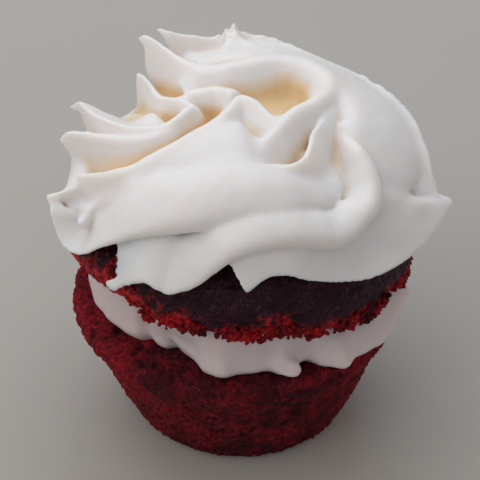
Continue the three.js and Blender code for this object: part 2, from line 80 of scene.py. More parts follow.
# How far the top's lower edge is torn up: [turn, height].
TEARS = [[0, 0], [46, 0], [60, 0.8], [74, 0], [184, 0], [198, 0.7], [208, 2.2], [216, 3.4],
         [227, 3.6], [231, 2.8], [235, 0.9], [240, 0], [274, 0], [283, 1.2], [292, 0], [318, 0],
         [332, 1.4], [346, 0], [360, 0]]

# ---------- the filling's dimensions ----------
# Its radius at the top's lower face, and how much farther it reaches at the back.
FILLING_TOP_RADIUS = 22.6
FILLING_TOP_BACK = 0.9
# It fills this share of a tear's height, from this share of its radius outwards.
TEAR_FILL = 0.85
TEAR_FILL_FROM = 0.86
# The ruffled lip: [turn, radius, lift above the cut face].
RUFFLE = [[0, 23.8, 0.6], [18, 22.8, 0.3], [36, 23.6, 0.2], [60, 22.6, 0.3], [82, 23.4, 0.3],
          [104, 22.4, 0.7], [126, 23, 0.4], [146, 21.8, 1.0], [166, 22.4, 0.5], [182, 21.5, 0.4],
          [196, 21.2, 0.4], [206, 20.7, 0.4], [218, 20.2, 0.5], [225, 20, 0.8], [229, 18.4, 1.6],
          [233, 18.8, 0.8], [238, 18.8, 0.8], [241, 17.6, 1.4], [245, 18.4, 0.9], [251, 19.2, 0.9],
          [258, 21.2, 0.6], [263, 21.8, 0.6], [271, 20.9, 0.6], [281, 20.7, 0.7], [285, 22, 0.5],
          [290, 21.2, 0.8], [295, 20.8, 1.6], [301, 22.9, 0.6], [306, 24.6, 0.4], [311, 23.7, 0.4],
          [318, 23.7, -0.6], [326, 24.1, -1.8], [335, 24, -1.8], [343, 23.9, -0.8],
          [350, 24.9, 0.3], [355, 24.2, 0.6], [360, 23.8, 0.6]]
# Shares of the lip's radius, and of the way from the cut face to the top's lower face.
FILLING_PROFILE = [[0, 0], [0.5, 0], [0.86, 0], [0.95, 0.02], [1, 0.1], [0.985, 0.26], [0.96, 0.5],
                   [0.95, 0.8], [0.92, 0.96], [0.86, 1], [0.5, 1], [0, 1]]

# Small folds along the lip, shaped like the swirl's blades.
FOLDS = {
    "drip": dict(
        crest=[[279, 21.6, 21.8], [282.5, 23.2, 21], [286, 24, 20.7], [289.5, 23.6, 20.9],
               [291.5, 22.2, 21.7]],
        depth=2.8, rise=[-30, -40, -40], root=1.1, edge=0.45, start=0.3, point=0.5, end=0.3),
    "petal": dict(
        crest=[[229.5, 18.6, 22], [232, 19.4, 21.3], [236, 19.6, 21.1], [240, 18.9, 21.7]],
        depth=2.6, rise=-35, root=1, edge=0.4, start=0.3, point=0.5, end=0.3),
    "sheet": dict(
        crest=[[236, 19.4, 23.4], [241, 19.6, 22.4], [247, 20.2, 21.8], [254, 21.2, 21.5],
               [262, 22.4, 21.3]],
        depth=2.6, rise=[-50, -40, -30], root=1, edge=0.45, start=0.2, point=0.4, end=0.3),
}

# ---------- the swirl's dimensions ----------
# A low mound lies under the blades. It is wider at the back, and stands on a narrower waist.
SWIRL_CENTRE = np.array([0.5, 1.0, 0.0])
MOUND_RADIUS = 21.8
MOUND_BACK = 0.09
MOUND_TOP = 47.3
MOUND_EDGE = 37.4
MOUND_WAIST = 20.4
MOUND_TAPER = 0.03
MOUND_POWER = 2.4
# The arms of the far side are placed by rule. The last ones, from FAR_LOW_FROM on, are lower.
FAR_ARMS = 6
FAR_FIRST_TURN = 6
FAR_SPACING = 27
FAR_LOW_FROM = 4
FAR_LOW_SHARE = 0.6
FAR_TIP_RADIUS = 25.8
FAR_TURN_SWAY = 3
FAR_TALL_SWAY = 0.12

# A blade of cream hangs from a crest through stations [turn, radius, height] round the swirl's
# axis. rise is the angle at which it stands up from the level, depth its height, root and edge
# its half widths at foot and crest, and flank how fast it narrows from the one to the other.
# belly is the swell of its middle to the lower side, lean how far its foot slants ahead along
# the crest, as a share of its depth, and ragged how far its crest is torn. It grows over its
# first part, start, from the share point of its size, and sinks over its last, end. soft is the
# size of the fillet where it meets the rest. A list is spread evenly along the crest.
BLADES = {
    "skirt": dict(
        crest=[[270.8, 26.7, 38.3], [273.2, 26.6, 39.3], [276.5, 26.4, 40.3],
               [281, 26.4, 40.5], [286, 26.4, 39.4], [293, 26.3, 38], [300, 26.3, 36.9],
               [308, 26.3, 36], [314, 26.4, 35.6], [320, 26.6, 35.7], [326, 26.9, 36.3],
               [336, 27.2, 37], [346, 28, 37.6]],
        depth=[6.5, 7, 7, 7, 7, 7, 6, 4], rise=[-52, -50, -48, -44, -42, -36, -28, -10],
        root=[2.2, 2.2, 2.4, 2.4, 2.4, 2.4, 2, 1.2],
        edge=[0.8, 0.6, 0.55, 0.55, 0.55, 0.55, 0.55], belly=[0, 0.4, 0.6, 0.4, 0.2],
        start=0.04, point=0.8, end=0, ragged=[0, 0.03, 0.1, 0.1, 0.1, 0.1, 0.1],
        lean=[0.3, 0.1, 0, 0, 0, 0, 0, 0]),
    "right_tip": dict(
        crest=[[346, 28, 37.6], [342, 26.8, 39], [337, 25.6, 40.2], [331, 24, 41.8],
               [325, 22, 43.4], [319, 20, 44.2]],
        depth=[4, 6, 7, 7], rise=100, root=[2.6, 5, 6, 5], edge=[0.45, 1.2, 1.8, 1.8], start=0.4,
        end=0.25, flank=1, soft=1.8),
    "back_wall": dict(
        crest=[[344, 26.6, 39.4], [348, 25.2, 42], [357, 24, 43.6], [370, 22.8, 44.8],
               [383, 21.2, 46], [402, 20, 45.8], [424, 19, 47.1], [436, 19, 48.2], [449, 18.8, 48.9],
               [452, 18.6, 49.4], [454, 18.5, 50.6], [456.3, 18.4, 49.6], [458, 18.3, 50.3],
               [459.6, 18.2, 49], [461, 18, 48.3], [464, 17.9, 48.2]],
        depth=[4, 7, 8, 8, 8, 8, 8, 8], rise=[20, 30, 40, 46, 50, 56, 60],
        root=[2.4, 4.4, 5, 5, 5, 4.8, 4.4], edge=0.45, start=0.06, point=0.3, end=0.02, ragged=0.2),
    "coil": dict(
        crest=[[320, 21.8, 41], [329, 22.8, 41.4], [340, 23.4, 41.4], [352, 23.2, 41.8],
               [370, 21.8, 42.8], [395, 19.6, 44], [420, 18.4, 45], [440, 18, 45.2], [460, 18.4, 44.6],
               [480, 19, 43.8], [498, 18.4, 43.4]],
        depth=[12, 12.5, 12.5, 11, 9.5, 9.5, 10, 10.5],
        rise=[-38, -38, -36, -32, -28, -24, -22, -22, -24, -24], root=2.4, edge=2.2, start=0.04,
        point=0.7, end=0.12, flank=1, soft=1.4),
    "shelf": dict(
        crest=[[229, 26.6, 34.8], [232, 26.8, 34.1], [236, 26.7, 35.4], [243, 26.7, 37.3],
               [249, 26.7, 36.7], [254, 26.7, 37.6], [258, 26.7, 39], [262, 26.6, 41],
               [266, 26.6, 43], [270, 26.4, 44], [275, 26.2, 44.6], [283, 25.9, 44.6],
               [290, 25.9, 43.8], [296, 25.9, 43], [302, 25.7, 43.2], [308, 25.1, 44.5],
               [314, 23.9, 45], [319, 22.1, 46.3], [322.5, 19.8, 47.9], [325, 17.3, 48.9],
               [330, 14.4, 49.1], [337, 12, 48.8]],
        depth=[8.5, 8, 7.5, 5.5, 5, 5, 5, 5.5, 5], rise=[-58, -46, -40, -18, -14, -8, 35, 85, 95],
        root=[1, 1.6, 1.8, 2.2, 2.3, 2.4, 2.4, 2.4, 2.2],
        edge=[0.4, 0.6, 0.9, 1.4, 1.6, 1.6, 1.7, 1.4, 0.9], start=0.03, point=0.85, end=0.14,
        ragged=[0.35, 0.3, 0.12, 0, 0, 0, 0, 0, 0], lean=[0.45, 0.15, 0, 0, 0, 0, 0, 0, 0],
        soft=0.6),
    "band": dict(
        crest=[[199, 26.8, 39.8], [203, 27.1, 38.6], [206, 27.1, 36.4], [210, 26.8, 35],
               [216, 26.5, 35.7], [222, 26.4, 37.5], [228, 25.8, 39.7], [235, 25.2, 41.8],
               [243, 24.7, 43.5], [250, 24.3, 44.6], [257, 23.9, 45.4], [263, 23.5, 46],
               [270, 23.1, 46.4], [278, 22.9, 46.5], [286, 22.6, 46.3], [296, 21.7, 45.5],
               [304, 20.7, 44.9], [310, 19, 44.8], [314, 17, 44.8], [318, 15, 45],
               [322, 13, 45.4]],
        depth=[3, 6.5, 8, 8, 8, 8.5, 9, 8, 7.5, 6.5, 5],
        rise=[-5, -28, -36, -31, -26, -21, -16, -12, -9, -6, -4],
        root=[0.9, 1.6, 2, 2, 2.2, 2.6, 2.6, 2.4, 2.1, 1.8, 1.5],
        edge=[0.45, 0.45, 0.5, 0.9, 1.6, 2.1, 2.2, 2, 1.6, 1.4, 1.2],
        belly=[0.9, 0.9, 0.8, 0.4, 0, -0.3, -0.3, -0.3, -0.3, -0.3, 0],
        start=0.11, point=0.15, end=0.1, flank=1,
        ragged=[0.12, 0.12, 0.1, 0, 0, 0, 0, 0, 0, 0, 0], soft=0.6),
    "apron": dict(
        crest=[[227, 19, 44], [234, 17.6, 45.1], [243, 16.4, 46.1], [252, 15.8, 47],
               [262, 15.4, 47.6], [272, 15.2, 47.6], [282, 14.6, 46.8], [292, 13.6, 45.8],
               [302, 12.6, 45.4]],
        depth=[4, 4.5, 6, 8, 9, 8.5, 7], rise=[-42, -34, -26, -17, -12, -9, -6], root=1.8, edge=2.1,
        start=0.1, point=0.5, end=0.12, flank=1, soft=2),
    "band_fold": dict(
        crest=[[217, 25.8, 40.2], [217, 24.6, 41.2], [216.5, 23.3, 42.3], [220, 22, 43.7],
               [224, 20.9, 44.6], [230, 19.3, 45.6], [236, 17.9, 46.4]],
        depth=6.5, rise=[50, 54, 58, 56], root=[1.8, 2.8, 3.6], edge=[0.6, 1, 1.6],
        start=0.2, point=0.5, end=0.3, flank=1),
    "left_foot": dict(
        crest=[[158, 24, 35.8], [168, 23.6, 37], [180, 22.8, 38], [190, 23.2, 37.8],
               [198, 24.3, 37.4], [206, 23.8, 37.6], [215, 22.8, 38.4], [224, 22.2, 39.2]],
        depth=[3, 4, 5, 5, 5, 6, 7.5], rise=-45, root=2.2, edge=1.5, start=0.1, point=0.5,
        end=0.15, flank=1),
    "tongue_top": dict(
        crest=[[199, 26.8, 39.8], [203, 25.4, 41.4], [206, 24, 42.6], [210, 22, 43.6]],
        depth=6, rise=[30, 40, 55], root=[1.5, 3, 3.2], edge=0.4, start=0.35, point=0.15, end=0.4),
    "ridge": dict(
        crest=[[204, 23.4, 43.8], [211, 22.2, 45.3], [218, 20.8, 46.6], [225, 18.2, 47.8],
               [230, 15, 49.1], [238, 11.3, 50.5], [245, 8.2, 51], [251, 5.2, 51.3],
               [262, 2.8, 51.6], [290, 4, 51.6], [297, 6.8, 51.1], [299, 9.5, 50.4]],
        depth=[6, 7, 7.5, 7.5, 6.5], rise=[60, 74, 92, 97, 109], root=[3, 4.4, 4.6, 4.4, 3.2],
        edge=[0.6, 1.1, 1.2, 1, 0.7], belly=0.3, point=0.3, end=0.06, flank=1),
    "ridge_back": dict(
        crest=[[180, 8.2, 49.4], [176, 7, 50], [172, 5.4, 50.4], [170, 3.6, 50.7], [190, 1.8, 51],
               [235, 1.6, 51.3]],
        depth=5, rise=90, root=3, edge=1.2, start=0.2, point=0.4, end=0.1, flank=1),
    "left_low": dict(
        crest=[[180, 24.6, 43], [182, 23.6, 44.6], [188, 21.6, 46.1], [197, 19.2, 47.3],
               [207, 16.8, 48.3], [214, 15, 48.9], [218, 12.6, 49.4], [218, 9.8, 49.7]],
        depth=[9.5, 9, 8, 8, 8], rise=[72, 64, 66, 80, 92], root=[3.4, 4.4, 4.6, 4.6],
        edge=[0.5, 0.9, 1.4, 1.2], start=0.1, point=0.7, end=0.15, ragged=0.06),
    "left_high": dict(
        crest=[[161, 25.2, 43.2], [164, 23.5, 45], [174, 21.2, 46.6], [188, 18.6, 48],
               [200, 16, 48.7], [208, 14.2, 49.2], [214, 12.2, 49.7], [214, 9.6, 50.3],
               [208, 7.8, 50.6], [200, 6.6, 50.6]],
        depth=[5, 7, 7.5, 7], rise=[60, 56, 62, 76, 92], root=[2, 4, 4.6, 4],
        edge=[0.4, 0.6, 0.8, 1], start=0.3, end=0.08, ragged=0.08),
    "left_fill": dict(
        crest=[[158, 18.6, 40], [168, 19.2, 40], [180, 19.8, 40.4], [192, 20, 41],
               [205, 19, 42.2], [222, 17, 43.6]],
        depth=[9.5, 11, 11, 9.5], rise=[-26, -28, -28, -26], root=2.3, edge=2, start=0.1, point=0.5,
        end=0.12, flank=1, soft=1.4),
    "spike": dict(
        crest=[[140, 19.2, 46.2], [144, 16.9, 46.9], [151, 14.5, 47.6], [162, 12.5, 48.2],
               [172, 10.9, 48.8], [178, 9.5, 49.3], [185, 8.1, 49.7], [200, 6.9, 50],
               [212, 5.9, 50.1]],
        depth=[7, 7.5, 7.5, 7], rise=[86, 80, 80, 90], root=[1.6, 3, 3.6, 3.4],
        edge=[0.35, 0.6, 0.9], start=0.04, point=0.9, end=0.12, ragged=0.08),
    "back_left": dict(
        crest=[[133, 21.6, 49.8], [132.5, 20.2, 50.6], [132, 17.3, 50.6], [133, 14, 50.4],
               [134, 11.3, 50.5], [133, 9, 50.6], [128, 7, 50.6]],
        depth=[4, 8, 9, 9, 8], rise=[100, 92, 88, 88, 92], root=[0.6, 1.6, 3.6, 4.8, 4.8],
        edge=[0.35, 0.45, 0.8, 1.5, 1.8], start=0.4, point=0.1, end=0.08, ragged=0.1),
    "back_peak": dict(
        crest=[[126, 20.6, 50.8], [121, 19.2, 50.3], [115, 18.5, 49.7], [108, 17.9, 49.2],
               [101, 17.6, 48.4], [96, 17.8, 48.4], [90, 18, 48.2]],
        depth=[2, 3.5, 6, 7, 8, 8], rise=95, root=[0.6, 1.6, 3, 4, 4.4], edge=[0.3, 0.4, 0.6, 0.8],
        start=0.4, point=0.08, end=0.05, ragged=0.12),
    "inner": dict(
        crest=[[150, 9.5, 48.6], [138, 8, 49.8], [125, 7, 50.6], [110, 6.7, 51], [92, 7, 51.1],
               [76, 8.2, 51.1], [62, 9.7, 50.9], [48, 11, 50.7], [34, 11.7, 50.6],
               [20, 11.8, 50.6], [0, 11, 51], [-18, 10, 51.4], [-44, 9, 51.6], [-60, 9.6, 51],
               [-75, 11.2, 50.1], [-82, 12.9, 49]],
        depth=[7, 7.5, 7.5, 7, 6.5, 6, 5, 4.5], rise=[102, 104, 102, 98, 92, 86, 81],
        root=[3.8, 4.2, 4.2, 3.8, 3.4, 3, 2.4], edge=[2, 2.2, 2, 1.6, 1.2, 0.9],
        point=0.5, end=0.1, flank=1, soft=2),
    "curl_floor": dict(
        crest=[[262, 9.5, 46], [284, 11, 46.2], [306, 11.2, 46.4], [328, 10.2, 47]],
        depth=6, rise=-10, root=2.6, edge=1.7, start=0.1, point=0.6, end=0.1, flank=1, soft=1.6),
    "curl_side": dict(
        crest=[[300, 18.6, 43.4], [308, 19.2, 43.8], [315, 18, 44.3], [322, 16, 44.9],
               [328, 14.2, 45.6]],
        depth=5.5, rise=-10, root=1.6, edge=1.4, start=0.1, point=0.5, end=0.1, flank=1, soft=1.2),
    "lip": dict(
        crest=[[346, 11.6, 49.7], [326, 11.8, 50], [314, 12.5, 50.1], [304, 14.6, 50.1],
               [297, 16.4, 50], [290, 17, 49.9], [284, 16.4, 49.8], [279, 15, 49.7]],
        depth=[5, 5.5, 6, 5], rise=[73, 69, 75, 87], root=[2.6, 1.9, 1.7, 2, 2.2],
        edge=[0.9, 0.6, 0.5, 0.6, 0.7], point=0.4, end=0.12, flank=1, soft=0.6),
}

# ---------- how the pieces are made ----------
# Level sets: the size of a voxel, the width of the band round a surface, and corners of grids.
VOXEL = 0.3
BAND_VOXELS = 8
SWIRL_GRID = [[-31, -31, 28], [33, 33, 60]]
FILLING_GRID = [[-27, -27, 16], [28, 28, 32]]
# Fillets where a blade meets the swirl, a fold the filling, and the top is cut from the swirl.
BLEND = 1.0
FOLD_BLEND = 0.5
CUT_BLEND = 0.3
# Blades: points round a section, millimetres between sections, and the fewest sections.
BLADE_SIDES = 36
BLADE_STEP = 0.35
FEWEST_SECTIONS = 20
CREST_SAMPLES = 40
# How full a blade's section is, the share of its size left at its end, and how far the growth
# of its edge is ahead of its own at its start.
SECTION_POWER = 0.75
END_SIZE = 0.06
EDGE_AHEAD = 0.35
# Teeth of a torn crest: [height, size].
TEETH = [[0.5, 2.6], [0.4, 1.1], [0.3, 0.6]]
# Wraps: points round the sponge and the forms of the cream, steps along their profiles, and
# about how high the top's wall is.
AROUND = 660
FILLING_AROUND = 360
MOUND_AROUND = 180
CUTTER_AROUND = 240
MOUND_RINGS = 25
HIDDEN_STEP = 1.2
BASE_STEP = 0.27
TOP_STEP = 0.25
TOP_WALL = 9
# How far a piece of cream reaches into the sponge next to it.
EMBED = 0.35

# ---------- crumb and cream ----------
# Sizes of the sponge's grains and lumps, and how far the grains are warped.
GRAIN_BIG = 1.7
GRAIN_SMALL = 0.85
LUMP_FINE = 0.42
LUMP_WIDE = 5.0
WARP = 0.35
WARP_SIZE = 0.9
# The share of the crumb's relief that the foot has.
FOOT_RELIEF = 0.25
# Patches of bright crumb: [weight, size].
BASE_PATCHES = [[1, 5.5], [0.7, 2.0], [0.5, 0.9]]
TOP_PATCHES = [[1.3, 2.4], [1.1, 1.1], [1.2, 0.5]]
TOP_SPOTS = [[1, 0.9], [0.6, 2.2]]
# Loose crumbs: how many are tried, how far out they lie, their sizes and how they are stretched.
CRUMB_COUNT = 4200
CRUMB_RADIUS = 23.85
CRUMB_OUTWARD = (-0.35, 0.15)
CRUMB_SIZES = (0.15, 0.44)
CRUMB_STRETCH = (0.65, 1.35)
# Soft lumps on the cream: [height, size].
CREAM_LUMPS = [[0.09, 3.5], [0.05, 1.4]]
# How strongly painted warm shade tints the cream in narrow and wide hollows, and how far each is
# smoothed.
HOLLOW_SHADE_NEAR = 0.8
HOLLOW_SHADE_WIDE = 1.0
NEAR_ROUNDS = 10
WIDE_ROUNDS = 8

# ---------- colours ----------
SPONGE_DARK = (0.045, 0.004, 0.009, 1)
SPONGE_BRIGHT = (0.34, 0.008, 0.016, 1)
# painted highlight: glints on the base sponge
SPONGE_PAINTED_GLINT = (0.30, 0.02, 0.04, 1)
CRUST_DARK = (0.026, 0.0035, 0.011, 1)
# painted highlight: glints on the top's crust
CRUST_PAINTED_GLINT = (0.13, 0.06, 0.11, 1)
CRUMB_BRIGHT = (0.60, 0.012, 0.014, 1)
# painted highlight: glints on the torn crumb
CRUMB_PAINTED_GLINT = (0.62, 0.02, 0.022, 1)
CREAM = (0.79, 0.785, 0.79, 1)
# Warm tan: painted shade in the cream's hollows, and a faint tint of the cream in wide clouds.
CREAM_WARM_TINT_AND_SHADE = (0.76, 0.54, 0.29, 1)
# The filling's cream, darkened by painted shadow from the top over it.
FILLING_IN_PAINTED_SHADOW = (0.64, 0.57, 0.585, 1)
FLOOR_DARK = (0.40, 0.385, 0.36, 1)
FLOOR_PALE = (0.44, 0.425, 0.40, 1)
# Painted shade in pits, creases and seams, and random dark tone, darken the sponge towards this share
# of its dark colour.
DEEP_TONE_AND_SHADE_SHARE = 0.45

# ---------- light and camera ----------
# Half the floor's width, in millimetres.
FLOOR_HALF = 1500
SKY_COLOUR = (0.99, 0.95, 0.935, 1)
SKY_STRENGTH = 0.48
# Square lights: place and width in metres, power in watts, and colour.
LAMPS = {
    "Window": ((-0.06, 0.22, 0.42), 0.5, 1.15, (0.87, 0.94, 1)),
    "Fill": ((-0.30, -0.16, 0.28), 0.4, 0.5, (1, 0.93, 0.88)),
}
LAMP_TARGET = (0, 0, 0.03)
# Place and target in metres, focal length in millimetres, and sideways shift in frames.
CAMERA_PLACE = (0, -0.159727, 0.147363)
CAMERA_TARGET = (0, 0, 0.027)
CAMERA_LENS = 107.4
CAMERA_SHIFT = 0.00125


# ---------- numbers along and around ----------
def spread(value, share):
    """A number as it is, or a list read at evenly spaced shares of its length, and rounded off."""
    if np.isscalar(value):
        return np.full(np.shape(share), float(value))
    raw = np.interp(share, np.linspace(0, 1, len(value)), value)
    reach = max(1, round(0.45 * len(share) / (len(value) - 1)))
    weights = np.hanning(2 * reach + 3)[1:-1]
    return np.convolve(np.pad(raw, reach, mode="edge"), weights / weights.sum(), mode="valid")


def smoothstep(low, high, value):
    """A soft step from 0 at low to 1 at high."""
    share = np.clip((value - low) / (high - low), 0, 1)
    return share * share * (3 - 2 * share)


def read_round(table, turns, column):
    """A column of a table of [turn, ...] stations, eased between stations like a soft wave."""
    stations = np.array(table, float)
    turns = np.mod(turns, 360)
    after = np.clip(np.searchsorted(stations[:, 0], turns, side="right"), 1, len(stations) - 1)
    low, high = stations[after - 1], stations[after]
    share = (turns - low[..., 0]) / (high[..., 0] - low[..., 0])
    eased = (1 - np.cos(np.pi * share)) / 2
    return low[..., column] + (high[..., column] - low[..., column]) * eased


# ---------- repeatable noise ----------
def hashed(cell, seed):
    """Three repeatable random numbers from 0 to 1 for each integer cell."""
    x, y, z = np.moveaxis(cell.astype(np.int64), -1, 0)
    mixed = (x * 73856093) ^ (y * 19349663) ^ (z * 83492791) ^ (seed * 2654435761)
    numbers = []
    for salt in (1, 2, 3):
        word = (mixed + salt * 40503) & 0xFFFFFFFF
        word = ((word ^ (word >> 15)) * 2246822519) & 0xFFFFFFFF
        word = ((word ^ (word >> 13)) * 3266489917) & 0xFFFFFFFF
        numbers.append((word ^ (word >> 16)) / 4294967296)
    return np.stack(numbers, -1)


def lumps(points, size, seed):
    """Smooth noise from -1 to 1, with lumps of this size."""
    place = points / size
    cell = np.floor(place).astype(np.int64)
    inside = place - cell
    weight = inside * inside * (3 - 2 * inside)
    total = np.zeros(len(points))
    for corner in itertools.product((0, 1), repeat=3):
        share = np.prod(np.where(corner, weight, 1 - weight), axis=-1)
        total += share * hashed(cell + np.array(corner), seed)[:, 0]
    return 2 * total - 1


def layered(points, layers, seed):
    """Lumps of several sizes added up, from pairs [weight, size]."""
    return sum(weight * lumps(points, size, seed + i) for i, (weight, size) in enumerate(layers))


def grains(points, size, seed):
    """Distances to the nearest and the next grain, in grain sizes, and a number for the nearest."""
    place = points / size
    cell = np.floor(place).astype(np.int64)
    nearest = np.full(len(points), 9.0)
    following = nearest.copy()
    mark = np.zeros(len(points))
    for step in itertools.product((-1, 0, 1), repeat=3):
        neighbour = cell + np.array(step)
        jitter = hashed(neighbour, seed)
        gap = np.linalg.norm(neighbour + jitter - place, axis=-1)
        closer = gap < nearest
        following = np.where(closer, nearest, np.minimum(following, gap))
        mark = np.where(closer, (7.31 * jitter[:, 0] + 3.7 * jitter[:, 1]) % 1, mark)
        nearest = np.where(closer, gap, nearest)
    return nearest, following, mark


# ---------- meshes ----------
def make_piece(name, points, faces, **attributes):
    """A smooth-shaded mesh object from points in millimetres, with numbers for its points."""
    mesh = bpy.data.meshes.new(name)
    mesh.from_pydata((np.asarray(points) * MM).tolist(), [], faces)
    mesh.shade_smooth()
    for key, values in attributes.items():
        layer = mesh.attributes.new(key, "FLOAT", "POINT")
        layer.data.foreach_set("value", np.asarray(values, np.float32))
    mesh.update()
    piece = bpy.data.objects.new(name, mesh)
    bpy.context.scene.collection.objects.link(piece)
    return piece


def wrap_faces(rings, around):
    """Triangles of a closed wrap: a pole, rings of points, and a second pole."""
    last = 1 + rings * around
    spots = np.arange(around)
    after = (spots + 1) % around
    faces = [np.stack([np.zeros(around, int), 1 + after, 1 + spots], -1)]
    for ring in range(rings - 1):
        low = 1 + ring * around
        high = low + around
        faces.append(np.stack([low + spots, low + after, high + after], -1))
        faces.append(np.stack([low + spots, high + after, high + spots], -1))
    end = 1 + (rings - 1) * around
    faces.append(np.stack([end + spots, end + after, np.full(around, last)], -1))
    return np.concatenate(faces)


def resample(profile, parts):
    """Rows along a profile, with parts(low, high) steps from each of its rows to the next."""
    profile = np.array(profile, float)
    rows = []
    for low, high in zip(profile[:-1], profile[1:]):
        count = max(1, round(parts(low, high)))
        rows += [low + (high - low) * i / count for i in range(count)]
    rows.append(profile[-1])
    return np.array(rows)


def turned(rows, around, place):
    """A closed wrap of profile rows: place(turn, row) gives the points of one ring."""
    rows = np.array(rows, float)
    turns = 2 * np.pi * np.arange(around) / around
    first = place(np.zeros(1), rows[0])
    rings = [place(turns, row) for row in rows[1:-1]]
    last = place(np.zeros(1), rows[-1])
    points = np.concatenate([first, *rings, last])
    return points, face_out(points, wrap_faces(len(rings), around))


def normals_of(points, faces):
    """Outward unit normals of the points of a triangle mesh."""
    corners = points[faces]
    flat = np.cross(corners[:, 1] - corners[:, 0], corners[:, 2] - corners[:, 0])
    total = np.zeros_like(points)
    for corner in range(3):
        np.add.at(total, faces[:, corner], flat)
    return total / np.maximum(np.linalg.norm(total, axis=1, keepdims=True), 1e-12)


# ---------- level sets ----------
def field_of(points, faces, grid):
    """Signed distance in millimetres to a closed mesh, on a grid of voxels."""
    low, high = np.array(grid, float)
    places = ((points - low) / VOXEL).astype(np.float32)
    level_set = openvdb.FloatGrid.createLevelSetFromPolygons(
        places, triangles=faces.astype(np.uint32), halfWidth=float(BAND_VOXELS))
    size = np.ceil((high - low) / VOXEL).astype(int)
    values = np.full(size, BAND_VOXELS, np.float32)
    level_set.copyToArray(values, ijk=(0, 0, 0))
    return values * VOXEL


def join(one, other, soft):
    """Union of two fields, with the crease between them filled by a soft fillet."""
    share = np.clip(0.5 + 0.5 * (other - one) / soft, 0, 1)
    return other * (1 - share) + one * share - soft * share * (1 - share)


def cut(one, other, soft):
    """One field without the other."""
    return -join(-one, other, soft)


def soften(field, rounds):
    """A field smoothed over its neighbours, round by round."""
    for _ in range(rounds):
        for axis in range(3):
            field = (np.roll(field, 1, axis) + 2 * field + np.roll(field, -1, axis)) / 4
    return field


def halved(field):
    """The field on a grid of half as many voxels each way."""
    size = [2 * (count // 2) for count in field.shape]
    field = field[:size[0], :size[1], :size[2]]
    for axis in range(3):
        even = [slice(None)] * 3
        odd = [slice(None)] * 3
        even[axis], odd[axis] = slice(0, None, 2), slice(1, None, 2)
        field = (field[tuple(even)] + field[tuple(odd)]) / 2
    return field


def surface_of(field, grid):
    """Points and triangles of the surface where the field is 0."""
    level_set = openvdb.FloatGrid(float(BAND_VOXELS * VOXEL))
    level_set.copyFromArray(np.ascontiguousarray(field, dtype=np.float32))
    places, triangles, quads = level_set.convertToPolygons(isovalue=0.0, adaptivity=0.0)
    faces = np.concatenate([triangles, quads[:, [0, 1, 2]], quads[:, [0, 2, 3]]]).astype(np.int64)
    return places.astype(float) * VOXEL + np.array(grid[0]), faces


def read_field(field, points, grid, voxel=VOXEL):
    """The field at points, by trilinear interpolation. A halved field has larger voxels."""
    first = np.array(grid[0]) + 0.5 * (voxel - VOXEL)
    place = (points - first) / voxel
    cell = np.clip(np.floor(place).astype(int), 0, np.array(field.shape) - 2)
    inside = place - cell
    total = np.zeros(len(points))
    for corner in itertools.product((0, 1), repeat=3):
        share = np.prod(np.where(corner, inside, 1 - inside), axis=-1)
        i, j, k = (cell + np.array(corner)).T
        total += share * field[i, j, k]
    return total


def face_out(points, faces):
    """The faces turned so that they face out of the mesh."""
    a, b, c = (points[faces[:, i]] for i in range(3))
    volume = np.einsum("ij,ij->i", a, np.cross(b, c)).sum()
    return faces if volume > 0 else faces[:, ::-1]


# ---------- the blades of cream ----------
def crest_part(knots, times):
    """The part of a Catmull-Rom curve between the second and the third of four knots."""
    p0, p1, p2, p3 = knots
    t0, t1, t2, t3 = times
    t = np.linspace(t1, t2, CREST_SAMPLES)[:, None]
    a1 = (t1 - t) / (t1 - t0) * p0 + (t - t0) / (t1 - t0) * p1
    a2 = (t2 - t) / (t2 - t1) * p1 + (t - t1) / (t2 - t1) * p2
    a3 = (t3 - t) / (t3 - t2) * p2 + (t - t2) / (t3 - t2) * p3
    b1 = (t2 - t) / (t2 - t0) * a1 + (t - t0) / (t2 - t0) * a2
    b2 = (t3 - t) / (t3 - t1) * a2 + (t - t1) / (t3 - t1) * a3
    return (t2 - t) / (t2 - t1) * b1 + (t - t1) / (t2 - t1) * b2


def crest_line(stations):
    """Evenly spaced points of a curve through stations [turn, radius, height], and its length."""
    turn, radius, height = np.array(stations, float).T
    angle = np.radians(turn)
    knots = SWIRL_CENTRE + np.stack([radius * np.cos(angle), radius * np.sin(angle), height], -1)
    knots = np.vstack([2 * knots[0] - knots[1], knots, 2 * knots[-1] - knots[-2]])
    times = np.concatenate([[0], np.cumsum(np.linalg.norm(np.diff(knots, axis=0), axis=1) ** 0.5)])
    raw = np.vstack([crest_part(knots[i:i + 4], times[i:i + 4]) for i in range(len(knots) - 3)])
    along = np.concatenate([[0], np.cumsum(np.linalg.norm(np.diff(raw, axis=0), axis=1))])
    count = max(FEWEST_SECTIONS, round(along[-1] / BLADE_STEP))
    places = np.linspace(0, along[-1], count)
    return np.stack([np.interp(places, along, raw[:, i]) for i in range(3)], -1), along[-1]


def blade_axes(line, angle):
    """Unit vectors ahead along a crest, up the blade at this angle, and across it."""
    ahead = np.gradient(line, axis=0)
    ahead /= np.linalg.norm(ahead, axis=1, keepdims=True)
    out = np.cross(ahead, [0, 0, 1])
    out /= np.linalg.norm(out, axis=1, keepdims=True)
    over = np.cross(out, ahead)
    stand = over * np.sin(angle) + out * np.cos(angle)
    return ahead, stand, np.cross(ahead, stand)


def blade_growth(share, start, point, end):
    """Shares of a blade's size along its crest: grown since its start, and left at its end."""
    growth = np.ones_like(share)
    if start > 0:
        growth = point + (1 - point) * np.sin(0.5 * np.pi * np.minimum(share / start, 1))
    left = np.ones_like(share)
    if end > 0:
        run = np.clip((share - 1 + end) / end, 0, 1)
        left = np.where(run > 0, END_SIZE + (1 - END_SIZE) * np.sqrt(1 - run * run), 1)
    return growth, left


